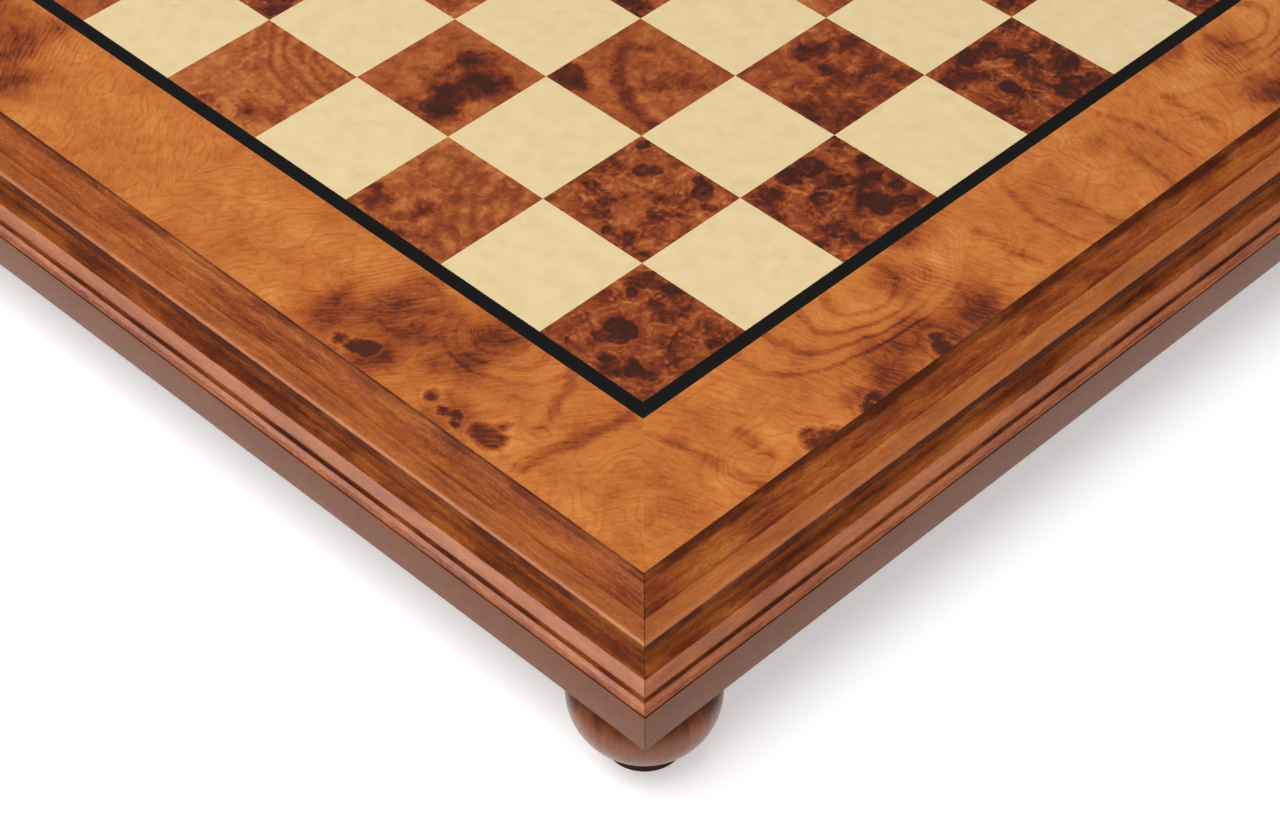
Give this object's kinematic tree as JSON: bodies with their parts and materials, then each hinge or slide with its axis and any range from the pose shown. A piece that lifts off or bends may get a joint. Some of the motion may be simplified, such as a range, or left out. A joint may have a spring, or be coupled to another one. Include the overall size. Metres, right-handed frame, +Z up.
{
  "type": "footed chess board",
  "caption": "Square veneered chess board with black stringing, a burl border and a moulded mitred frame, standing on turned ball feet.",
  "frame": {"origin": "under the middle of the board, on the surface that the four foot pads stand on", "axes": "+Z up through the middle of the board, +X towards the right of a player at the front edge, +Y away from that player along the files"},
  "size_m": [0.576, 0.576, 0.0728],
  "materials": {
    "light_veneer": "satin lacquered maple veneer",
    "dark_veneer": "satin lacquered dark burl veneer",
    "black_stringing": "satin lacquered, dyed black",
    "border_veneer": "satin lacquered elm burl veneer",
    "panel_core": "raw board",
    "backing_veneer": "thinly sealed veneer",
    "frame_wood": "satin lacquered mahogany",
    "spline_wood": "raw hardwood",
    "foot_wood": "satin lacquered mahogany, turned",
    "screw_steel": "plain",
    "pad_felt": "dark felt"
  },
  "bodies": {
    "root": {"backing_veneer": "backing_veneer", "border_back_left": "border_veneer", "border_back_right": "border_veneer", "border_front_left": "border_veneer", "border_front_right": "border_veneer", "border_left_back": "border_veneer", "border_left_front": "border_veneer", "border_right_back": "border_veneer", "border_right_front": "border_veneer", "core_panel": "panel_core", "foot_back_left": "foot_wood", "foot_back_right": "foot_wood", "foot_front_left": "foot_wood", "foot_front_right": "foot_wood", "foot_pad_back_left": "pad_felt", "foot_pad_back_right": "pad_felt", "foot_pad_front_left": "pad_felt", "foot_pad_front_right": "pad_felt", "foot_screw_back_left": "screw_steel", "foot_screw_back_right": "screw_steel", "foot_screw_front_left": "screw_steel", "foot_screw_front_right": "screw_steel", "frame_rail_back": "frame_wood", "frame_rail_front": "frame_wood", "frame_rail_left": "frame_wood", "frame_rail_right": "frame_wood", "mitre_spline_back_left": "spline_wood", "mitre_spline_back_right": "spline_wood", "mitre_spline_front_left": "spline_wood", "mitre_spline_front_right": "spline_wood", "rank_1_dark_squares": "dark_veneer", "rank_1_light_squares": "light_veneer", "rank_2_dark_squares": "dark_veneer", "rank_2_light_squares": "light_veneer", "rank_3_dark_squares": "dark_veneer", "rank_3_light_squares": "light_veneer", "rank_4_dark_squares": "dark_veneer", "rank_4_light_squares": "light_veneer", "rank_5_dark_squares": "dark_veneer", "rank_5_light_squares": "light_veneer", "rank_6_dark_squares": "dark_veneer", "rank_6_light_squares": "light_veneer", "rank_7_dark_squares": "dark_veneer", "rank_7_light_squares": "light_veneer", "rank_8_dark_squares": "dark_veneer", "rank_8_light_squares": "light_veneer", "stringing_back": "black_stringing", "stringing_front": "black_stringing", "stringing_left": "black_stringing", "stringing_right": "black_stringing"}
  },
  "joints": []
}
